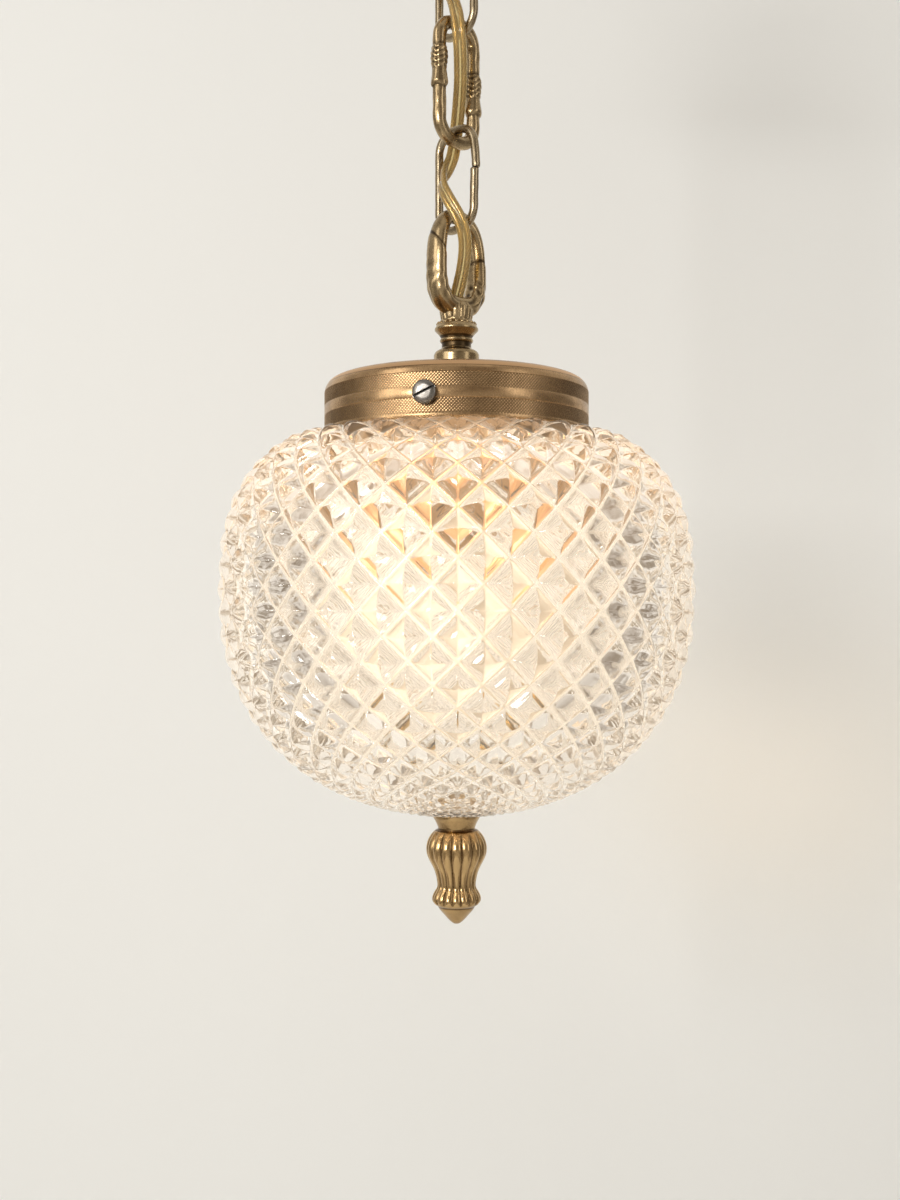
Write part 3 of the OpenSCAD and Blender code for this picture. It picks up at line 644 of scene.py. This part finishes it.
def flex():
    frames = flex_frames()
    outline = twin_outline(32)
    first = 0
    for k, (a, b, last, node_a, node_b, pivot) in enumerate(FLEX_JOINTS):
        part = frames[first * FLEX_STEPS:last * FLEX_STEPS + 1]
        ends = (k == 0, k == len(FLEX_JOINTS) - 1)
        cover = flex_piece(f"flex_{k + 1}_cover", part, lambda j, run: (*outline[j], 0.0), 32,
                           MATERIALS["flex_cover"], ends)
        pieces = [cover]
        for side in (-1, 1):
            def strands(j, run, side=side):
                q = 2 * math.pi * j / 20
                lay = math.cos(5 * (q + run * 0.55 * side))
                r = 0.76 + 0.09 * lay
                return side * CORE_APART + r * math.cos(q), r * math.sin(q), 0.9 * lay
            name = f"flex_{k + 1}_strands_{'left' if side < 0 else 'right'}"
            pieces.append(flex_piece(name, part, strands, 20, MATERIALS["strands"], ends))
        for piece in pieces:
            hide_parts(node_a, node_b)
            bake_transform(piece)
        first = last


# ---------------------------------------------------------------- lamp loop

def power(x, n):
    return math.copysign(abs(x) ** n, x)


def eye_at(t):
    """A place (x, z) on the middle line of the pointed eye of the lamp's loop."""
    tall = 21.8 if math.sin(t) > 0 else 14.5
    return 11.2 * power(math.cos(t), 0.77), 44.3 + tall * power(math.sin(t), 0.77)


def lamp_loop():
    count, n = 220, 44
    angles = [2 * math.pi * (i + 0.5) / count for i in range(count)]
    route = [eye_at(-t) for t in angles]

    def section(i, q):
        t = -angles[i]
        s = math.sin(t)
        x, z = route[i]
        a = 2.75 + 0.15 * s if s > 0 else 2.75 - 1.2 * s
        b = 4.6 - 1.7 * s ** 3 if s > 0 else 4.6
        left = x < 0
        edge = 53.8 + 3.6 * math.cos(q - 0.785) if left else 47 + 2.6 * math.cos(q + 2.2)
        leaf = smoothstep(edge - z, 0.0, 0.7)
        fade = smoothstep(z, 24, 30)
        veins = math.cos(7 * q + 0.14 * z) * smoothstep(edge - z, 14 if left else 4, 24 if left else 14)
        knots = math.sin(1.35 * z + 3 * q) * smoothstep(edge - z, 6, 12) * (0.6 if left else 1.3)
        rim = leaf * (1 - smoothstep(edge - z, 0.7, 2.2))
        ripple = 0.30 * leaf * fade + 0.24 * veins + 0.15 * knots * fade - 0.07 * rim
        # painted shade: a dark line along the edge of the leaf sleeve
        groove = -1.0 * (1 - smoothstep(abs(edge - z + 0.35), 0.2, 0.9))
        high = max(-1.0, min(1.0, 0.1 + 0.75 * veins * fade + 0.5 * knots + groove))
        return (a + ripple) * math.cos(q), (b + ripple) * math.sin(q), 0.0, high

    eye = placed(sweep_flat(route, n, section, True), CHAIN_TURN)

    profile = [(3.2, 5.0), (3.2, 32.0), (5.2, 31.4), (6.3, 29.6), (6.6, 28.0), (6.2, 25.4), (6.0, 24.2),
               (6.3, 23.6), (7.2, 23.2), (7.9, 22.6), (8.3, 21.7), (8.75, 21.1), (8.75, 20.4), (8.4, 20.0),
               (7.2, 18.8), (6.3, 17.6), (6.1, 17.2), (6.5, 16.8), (6.75, 16.2), (6.5, 15.6), (5.9, 15.2),
               (5.9, 13.4), (6.4, 12.7), (7.4, 12.3), (8.5, 11.6), (9.05, 10.5), (9.1, 10.1), (9.1, 0.6),
               (8.8, 0.15), (8.2, 0.05), (5.1, 0.05), (5.1, 11.0), (3.2, 11.0)]
    base_line = dense(rounded(profile, 0.35), 0.45)

    def reeds(i, r, z, q):
        share = smoothstep(z, 23.9, 25.2) * smoothstep(-z, -32.0, -30.0) if r > 5 else 0.0
        wave = abs(math.cos(6 * q)) ** 0.6 - 0.55
        # painted shade in the two narrow waists of the base
        hollow = -0.8 if r > 5 and (13.2 < z < 15.4 or 17.1 < z < 18.2) else 0.1
        return 0.5 * wave * share, hollow if share == 0 else 1.0 * wave * share

    base = lathe(base_line, 144, reeds)
    beads = [ball(7.45, 22.9, 2 * math.pi * i / 20, 0.72) for i in range(20)]
    part = placed(joined(eye, base, *beads), 0.0, LAMP_Z)
    return build("lamp_loop_cast", part[0], part[1], "lamp", MATERIALS["cast_brass"],
                 ["lamp_loop"], part[2], sharp=60)


def ball(r, z, angle, size, rows=6, n=12):
    """A small ball at radius r and height z, as points, faces and relief."""
    cx, cy = r * math.cos(angle), r * math.sin(angle)
    verts = [(cx, cy, z + size)]
    for i in range(1, rows):
        a = math.pi * i / rows
        for j in range(n):
            q = 2 * math.pi * j / n
            verts.append((cx + size * math.sin(a) * math.cos(q), cy + size * math.sin(a) * math.sin(q),
                          z + size * math.cos(a)))
    verts.append((cx, cy, z - size))
    faces = [(0, 1 + j, 1 + (j + 1) % n) for j in range(n)]
    for i in range(rows - 2):
        a, b = 1 + i * n, 1 + (i + 1) * n
        faces += [(a + j, b + j, b + (j + 1) % n, a + (j + 1) % n) for j in range(n)]
    last, a = len(verts) - 1, 1 + (rows - 2) * n
    faces += [(last, a + (j + 1) % n, a + j) for j in range(n)]
    return verts, faces, [0.6] * len(verts)


# ---------------------------------------------------------------- gallery

KNURL_AROUND = 264
KNURL_DEPTH = 0.32


def gallery():
    r, h = GALLERY_R, GALLERY_H
    bore, t = 5.15, 1.0
    outside = rounded([(bore, 0), (r - 5.6, 0), (r - 3.6, -0.4), (r - 1.8, -1.5), (r - 0.5, -3.4),
                       (r - 0.05, -5.3)], 1.2, 4)
    # bands of the side: top, and whether it is knurled
    bands = [(-5.4, True), (-10.8, False), (-14.9, True), (-20.3, False)]
    lip = rounded([(r - 0.1, -20.4), (r, -20.9), (r - 0.05, -21.6), (r - 0.5, -22.4), (r - 1.4, -h),
                   (r - 2.3, -h + 0.1), (r - 2.6, -h + 0.6), (r - 1.6, -h + 1.4), (r - t - 0.1, -h + 2.6),
                   (r - t, -5.6), (r - 1.5, -3.9), (r - 2.5, -2.3), (r - 4, -1.3), (r - 5.6, -t), (bore, -t)],
                  0.6, 3)
    row = 2 * math.pi * r / KNURL_AROUND / 4
    line = [(p, False) for p in outside]
    for (top, rough), (low, _) in zip(bands, bands[1:] + [(-20.4, False)]):
        if rough:
            rows = round((top - low) / row)
            line += [((r, top - (top - low) * i / rows), 1 + i) for i in range(rows + 1)]
        elif low < top - 1:
            line += [((r - 0.12, top - 0.1), False), ((r - 0.02, top - 0.35), False),
                     ((r - 0.02, low + 0.35), False), ((r - 0.12, low + 0.1), False)]
    line += [(p, False) for p in lip]
    n = 4 * KNURL_AROUND
    verts, relief = [], []
    for (pr, pz), mark in line:
        for j in range(n):
            q = 2 * math.pi * j / n
            more, high = 0.0, 0.0
            if mark:
                # knurl: painted highlight on the tips and painted shade in the valleys
                one = abs((j + 2) % 4 - 2) + abs((mark + 2) % 4 - 2)
                other = abs(j % 4 - 2) + abs(mark % 4 - 2)
                tip = 1 - min(one, other) / 2
                more = -KNURL_DEPTH * (1 - tip)
                high = 1.5 * tip - 0.9
            # inside of the gallery: painted shade, and with the gallery's brass a painted glow
            elif pr < r - 0.9 and pz < -0.9:
                high = -1.0
            verts.append(((pr + more) * math.cos(q), (pr + more) * math.sin(q), pz))
            relief.append(high)
    v, f, rel = placed((verts, grid_faces(len(line), n, True, flip=True), relief), 0.0, LAMP_Z)
    return build("gallery_spun", v, f, "lamp", MATERIALS["gallery_brass_painted_glow"], ["gallery"], rel,
                 sharp=70)


# ---------------------------------------------------------------- glass globe

POINTS = 32
GLOBE_R, GLOBE_UP, GLOBE_LOW = 94.3, 73.0, 87.4
GLOBE_DROP = 85.7
POINT_RISE = 0.42
GLASS_T = 2.8
ROW_LOW, ROW_HIGH, ROW_SHIFT = -22, 10, -0.8
VALLEY = 0.12      # half width of the flat bottom between points, as a share of half a point
SOFT = 0.12       # how soft the ridges of a point are
PILLOW = 0.6      # 0 for straight sides, 1 for sides that steepen from the tip down


def row_angle(k):
    return 2 * math.atan(math.exp((k + ROW_SHIFT) * math.pi / POINTS)) - math.pi / 2


def reach(a):
    n, b = (2.8, GLOBE_UP) if a > 0 else (2.2, GLOBE_LOW)
    return ((math.cos(a) / GLOBE_R) ** n + (abs(math.sin(a)) / b) ** n) ** (-1 / n)


def soft_abs(x):
    return (math.sqrt(x * x + SOFT * SOFT) - SOFT) / (math.sqrt(1 + SOFT * SOFT) - SOFT)


def glass_point(i, k, depth):
    """A place on the outside: column i and row k may be fractions, depth is a share of a point's height."""
    a = row_angle(k)
    full = reach(a)
    rise = POINT_RISE * math.pi / POINTS * full * math.cos(a)
    if k > ROW_HIGH - 1:
        lower = 0.5 * (k - ROW_HIGH + 1)
        depth = lower + depth * (1 - lower)
    if k < ROW_LOW + 1:
        rise *= 1 - 0.7 * (ROW_LOW + 1 - k)
    r = full - rise * depth
    q = FRONT + math.pi * i / POINTS
    return r * math.cos(a) * math.cos(q), r * math.cos(a) * math.sin(q), r * math.sin(a) - GLOBE_DROP


def glass_globe():
    verts, index, faces, relief = [], {}, [], []
    rims = {ROW_LOW: {}, ROW_HIGH: {}}

    def vert(i, k, depth):
        p = glass_point(i, k, depth)
        key = tuple(round(c, 3) for c in p)
        if key not in index:
            index[key] = len(verts)
            verts.append(p)
            relief.append(smoothstep(depth, 0.93, 1.0))
        if k in rims:
            rims[k][index[key]] = math.atan2(p[1], p[0])
        return index[key]

    # each point is rings round its tip; across each of its four sides a ring has these stops
    stops = [0.0, 0.12, 0.88]
    levels = [1.0, 1 - VALLEY, 0.74, 0.56, 0.36, 0.14]

    def ring(i0, k0, m):
        out = []
        corners = [(1, 0), (0, 1), (-1, 0), (0, -1)]
        for (ax, ay), (bx, by) in zip(corners, corners[1:] + corners[:1]):
            for s in stops:
                di, dk = m * (ax + (bx - ax) * s), m * (ay + (by - ay) * s)
                depth = min(1.0, (soft_abs(di) + soft_abs(dk)) / (1 - VALLEY))
                depth = (1 - PILLOW) * depth + PILLOW * depth * depth
                depth = 1.0 if m >= 1 - VALLEY * 1.01 else depth
                row = k0 + dk
                inside = ROW_LOW - 1e-9 <= row <= ROW_HIGH + 1e-9
                row = round(row) if abs(row - round(row)) < 1e-9 else row
                out.append(vert((i0 + di) % (2 * POINTS), row, depth) if inside else None)
        return out

    for k0 in range(ROW_LOW, ROW_HIGH + 1):
        for i0 in range(2 * POINTS):
            if (i0 + k0) % 2 == 0:
                continue
            rings = [ring(i0, k0, m) for m in levels]
            tip = vert(i0, k0, 0.0)
            for outer, inner in zip(rings, rings[1:]):
                for j in range(len(outer)):
                    k = (j + 1) % len(outer)
                    face = [outer[j], outer[k], inner[k], inner[j]]
                    face = [v for n, v in enumerate(face) if v is not None and v not in face[:n]]
                    if len(face) > 2:
                        faces.append(tuple(face))
            inner = rings[-1]
            for j in range(len(inner)):
                a, b = inner[j], inner[(j + 1) % len(inner)]
                if a is not None and b is not None and a != b:
                    faces.append((a, b, tip))

    # the smooth rest: round the hole at the foot, up the inside, over the bead and down the neck
    line = [(12, -171.4), (5.6, -171.6), (5, -171.1), (5, -167.9), (5.6, -167.4), (13, -167.2)]
    for step in range(25):
        a = math.radians(-76 + step * 116 / 24)
        r = reach(a) - GLASS_T - POINT_RISE * math.pi / POINTS * reach(a) * math.cos(a)
        line.append((r * math.cos(a), r * math.sin(a) - GLOBE_DROP))
    line += rounded([(52, -28.4), (46, -26.2), (44, -22), (44, -4), (45.4, -2.6), (49.2, -2.7), (50.2, -4.4),
                     (50.2, -7.2), (49.6, -8.6), (47.8, -9.9), (47.8, -20.5), (48.6, -22.6), (51.5, -23.6),
                     (57.5, -23.5)], 1.2, 3)
    low, high = (sorted(rims[k], key=rims[k].get) for k in (ROW_LOW, ROW_HIGH))
    angles = [rims[ROW_LOW][v] for v in low]
    n = len(low)
    before = low
    for r, z in line:
        ring_now = list(range(len(verts), len(verts) + n))
        verts += [(r * math.cos(q), r * math.sin(q), z) for q in angles]
        relief += [-1.0] * n
        faces += [(before[(j + 1) % n], before[j], ring_now[j], ring_now[(j + 1) % n]) for j in range(n)]
        before = ring_now
    start = min(range(n), key=lambda j: abs(rims[ROW_HIGH][high[j]] - angles[0]))
    high = high[start:] + high[:start]
    faces += [(before[(j + 1) % n], before[j], high[j], high[(j + 1) % n]) for j in range(n)]
    piece = [(x, y, z + LAMP_Z) for x, y, z in verts]
    return build("globe_pressed", piece, faces, "lamp", MATERIALS["glass"], ["glass_globe"], relief,
                 weighted=True)


# ---------------------------------------------------------------- finial

def finial():
    flutes = 16
    line = [(4.2, -172.75), (9.2, -172.75), (9.6, -173.1), (9.4, -174.2), (8.6, -175.5), (7.9, -176.9),
            (7.4, -178.2), (7.3, -179.0), (8.5, -179.4), (9.4, -180.2), (10.2, -181.1), (11.0, -182.4),
            (11.6, -183.8), (12.0, -185.4), (12.1, -187.0), (11.9, -188.7), (11.4, -190.2), (10.7, -191.7),
            (9.8, -193.3), (9.0, -194.9), (8.4, -196.6), (8.0, -198.3), (7.7, -200.1), (7.6, -201.4),
            (7.9, -202.5), (8.6, -203.5), (9.3, -204.8), (9.7, -206.0), (9.75, -207.0), (9.5, -207.8),
            (8.8, -208.6), (7.9, -209.2), (7.4, -209.5), (6.9, -210.6), (5.9, -211.8), (4.9, -212.9),
            (3.6, -214.4), (2.4, -215.6), (1.3, -216.4), (0.5, -216.6)]
    line = line[:2] + rounded(line[2:], 0.6, 2)
    line = dense(line, 0.5)

    def flute(i, r, z, q):
        wave = abs(math.cos(flutes / 2 * q)) ** 0.75
        bulb = smoothstep(-z, 179.2, 181.6) * smoothstep(z, -207.6, -204)
        ring = smoothstep(-z, 203.5, 205) * smoothstep(z, -208.6, -207.4)
        share = max(bulb, ring)
        if r < 5:
            share = 0
        lobes = -0.95 * (1 - wave) * share * min(1, r / 12)
        # painted shade in the two waists, under the cup and under the ring; the flute valleys darker, part
        # patina and part painted shade
        hollow = -0.9 if 178.4 < -z < 179.6 or 209.1 < -z < 210.0 else -0.15
        return lobes, (1 - share) * hollow + share * (1.15 * wave - 0.75)

    part = placed(lathe(line, flutes * 14, flute, closed=False), 0.0, LAMP_Z)
    v, f, r = part
    n = flutes * 14
    last = len(v) - n
    f = f + [tuple(range(last, last + n))[::-1]]
    bore = [(4.2, -172.75), (3.1, -173.4), (3.1, -187.6), (0.4, -188)]
    hole = placed(lathe(dense(bore, 2.0), 48, None, closed=False), 0.0, LAMP_Z)
    v, f, r = joined((v, f, r), (hole[0], [x[::-1] for x in hole[1]], [-0.6] * len(hole[0])))
    return build("finial_cast", v, f, "lamp", MATERIALS["finial_brass"], ["finial"], r, sharp=60)


# ---------------------------------------------------------------- painted shadow in the slots of the clamp screws

SCREW_DROP = 13.1                  # from the top of the gallery down to the screws
SCREW_TURN = 12.7                  # degrees from the front to the first screw
SLOT_TURN = math.radians(25)       # turn of a slot about its screw


def slot_shadow_sheet(number):
    """A thin dark sheet on the floor of the slot of a clamp screw, 2 to 2.3 mm out of the gallery: painted
    shadow in the slot.
    """
    turn = math.radians(-90 - SCREW_TURN + 120 * (number - 1))
    verts = []
    for h in (2.005, 2.3):
        for k in range(13):
            y = -4.3 + 8.6 * k / 12
            for x in (-0.4, 0.4):
                c, s = math.cos(SLOT_TURN), math.sin(SLOT_TURN)
                wobble = 0.04 * math.sin(k * 1.7 + number)
                across, up = x * c - y * s, x * s + y * c
                verts.append(turned((GALLERY_R + h + (wobble if h > 2.1 else 0), up, -across), turn))
    verts = [(x, y, z + LAMP_Z - SCREW_DROP) for x, y, z in verts]
    faces, n = [], 26
    for k in range(12):
        a = 2 * k
        faces.append((a, a + 1, a + 3, a + 2))
        faces.append((n + a, n + a + 2, n + a + 3, n + a + 1))
        faces.append((a, a + 2, n + a + 2, n + a))
        faces.append((a + 1, n + a + 1, n + a + 3, a + 3))
    faces.append((0, n, n + 1, 1))
    faces.append((24, 25, n + 25, n + 24))
    # painted shadow: a near-black sheet, in the rubber material for its colour only
    build(f"slot_shadow_sheet_{number}", verts, faces, f"screw_{number}", MATERIALS["rubber"])


# ---------------------------------------------------------------- CAD nodes that show as they are

# what gets the painted glow and orange tone that stand in for the light that the glass throws back
HOLDER_PARTS = ("holder_shell", "holder_cap", "holder_thread", "bulb_cap", "side_contact")


def dress_nodes():
    for name, node in NODES.items():
        if node.hide_render:
            continue
        # the lampholder, bulb cap and contact get the brass painted with that glow
        material = MATERIALS["holder_brass_painted_glow" if name in HOLDER_PARTS else SLOT_OF[name]]
        node.data.materials.clear()
        node.data.materials.append(material)
        node.modifiers.new("weld", "WELD").merge_threshold = 0.000002
        edges = node.modifiers.new("edges", "BEVEL")
        edges.width = 0.00016
        edges.segments = 2
        edges.limit_method = "ANGLE"
        edges.angle_limit = math.radians(38)
        edges.harden_normals = True


# ---------------------------------------------------------------- stage, light and camera

ROOM_STRENGTH = 0.84
DAYLIGHT = (1.0, 0.99, 0.97)
FILAMENT_WATTS = 0.12
CAMERA_AT = (-0.0026, -0.550, -0.3846)     # metres; 0.55 from the lamp's axis
CAMERA_TILT = math.radians(91.04)          # 90 is level
CAMERA_LENS = 41.25                        # shows 0.48 m of the lamp's axis from top to bottom
# name, place, what it points at, size and watts of each lamp
LAMPS = [
    ("window_left", (-1.40, -0.85, 0.30), (0, 0, -0.35), (0.6, 1.6), 6.2),
    ("window_right", (1.2, -0.9, 0.1), (0, 0, -0.35), (0.5, 1.1), 2.6),
    ("lamp_front", (-0.83, -1.37, -0.01), (0, 0, -0.37), (0.42, 0.42), 11),
    ("ceiling_bounce", (0.0, -0.45, 0.95), (0, 0.05, -0.4), (1.4, 1.0), 0.8),
]


def stage():
    t = Tree("stage_wall")
    t.link(t.mix(t.noise(2.2, 3), (0.930, 0.935, 0.918), (0.912, 0.917, 0.897)), t.bsdf.inputs["Base Color"])
    t.set(Roughness=0.92)
    t.bump(t.noise(240, 4), 0.0003, 0.3)
    t.clear_where(t.node("ShaderNodeNewGeometry").outputs["Backfacing"])

    # wall curving into the floor, seen from its front and from above only
    back, floor_z, curve, wide = 0.36, -1.15, 0.35, 0.62
    line = [(-1.6, floor_z)] + [(back - curve + curve * math.sin(math.radians(a)),
                                 floor_z + curve - curve * math.cos(math.radians(a))) for a in range(0, 91, 6)]
    line.append((back, 0.75))
    verts = [(x, y, z) for y, z in line for x in (-wide, wide)]
    faces = [(2 * i, 2 * i + 1, 2 * i + 3, 2 * i + 2) for i in range(len(line) - 1)]
    mesh = bpy.data.meshes.new("stage_wall")
    mesh.from_pydata(verts, [], faces)
    for p in mesh.polygons:
        p.use_smooth = True
    mesh.materials.append(t.material)
    wall = bpy.data.objects.new("stage_wall", mesh)
    bpy.context.scene.collection.objects.link(wall)


def room():
    """Light from all sides: a pale room with darker patches, dark things to both sides of it.

    The camera itself sees a plain background.
    """
    world = bpy.data.worlds.new("room")
    bpy.context.scene.world = world
    world.use_nodes = True
    t = Nodes(world.node_tree, "Generated")
    axes = t.axes()
    walls = t.mix(t.spread(t.noise(1.7, 2.0, 0.5), 0.42, 0.58), (0.62, 0.585, 0.53), (0.24, 0.20, 0.16))
    walls = t.mix(t.spread(axes["Y"], -0.3, 0.9), walls, (0.95, 0.94, 0.91))
    beside = t.spread(t.math("ABSOLUTE", axes["X"], 0.0), 0.70, 0.88)
    level = t.spread(t.math("ABSOLUTE", axes["Z"], 0.0), 0.50, 0.25)
    things = t.math("MULTIPLY", t.math("MULTIPLY", beside, level), t.spread(t.noise(7.0, 3.0, 0.5), 0.44, 0.56))
    shown = t.mix(things, walls, (0.12, 0.10, 0.08))
    shown = t.mix(t.node("ShaderNodeLightPath").outputs["Is Camera Ray"], shown, (1.22, 1.17, 1.06))
    background = t.tree.nodes["Background"]
    t.link(shown, background.inputs["Color"])
    background.inputs["Strength"].default_value = ROOM_STRENGTH


def area(name, place, target, size, watts):
    lamp = bpy.data.lights.new(name, "AREA")
    lamp.shape = "RECTANGLE"
    lamp.size, lamp.size_y = size
    lamp.energy = watts
    lamp.color = DAYLIGHT
    obj = bpy.data.objects.new(name, lamp)
    obj.location = place
    obj.rotation_euler = (Vector(target) - Vector(place)).to_track_quat("-Z", "Y").to_euler()
    bpy.context.scene.collection.objects.link(obj)


def lights_and_camera():
    for lamp in LAMPS:
        area(*lamp)
    filament = bpy.data.lights.new("filament", "POINT")
    filament.energy = FILAMENT_WATTS
    filament.shadow_soft_size = 0.02
    filament.color = BULB_LIGHT
    glow = bpy.data.objects.new("filament", filament)
    glow.location = (0, 0, FILAMENT_Z * MM)
    bpy.context.scene.collection.objects.link(glow)
    for seen in ("visible_camera", "visible_glossy", "visible_transmission"):
        setattr(glow, seen, False)
    camera = bpy.data.cameras.new("camera")
    camera.sensor_width = 36
    camera.lens = CAMERA_LENS
    camera.clip_start = 0.01
    obj = bpy.data.objects.new("camera", camera)
    obj.location = CAMERA_AT
    obj.rotation_euler = (CAMERA_TILT, 0, 0)
    bpy.context.scene.collection.objects.link(obj)
    bpy.context.scene.camera = obj


# ---------------------------------------------------------------- all of it

cast_link("cast_link_upper", "cast_link_1")
cast_link("cast_link_lower", "cast_link_2")
wire_link("wire_link_upper", "wire_link_1")
wire_link("wire_link_lower", "wire_link_2")
flex()
lamp_loop()
gallery()
glass_globe()
finial()
for number in (1, 2, 3):
    slot_shadow_sheet(number)
dress_nodes()
stage()
room()
lights_and_camera()

bpy.context.scene.view_settings.view_transform = "Standard"
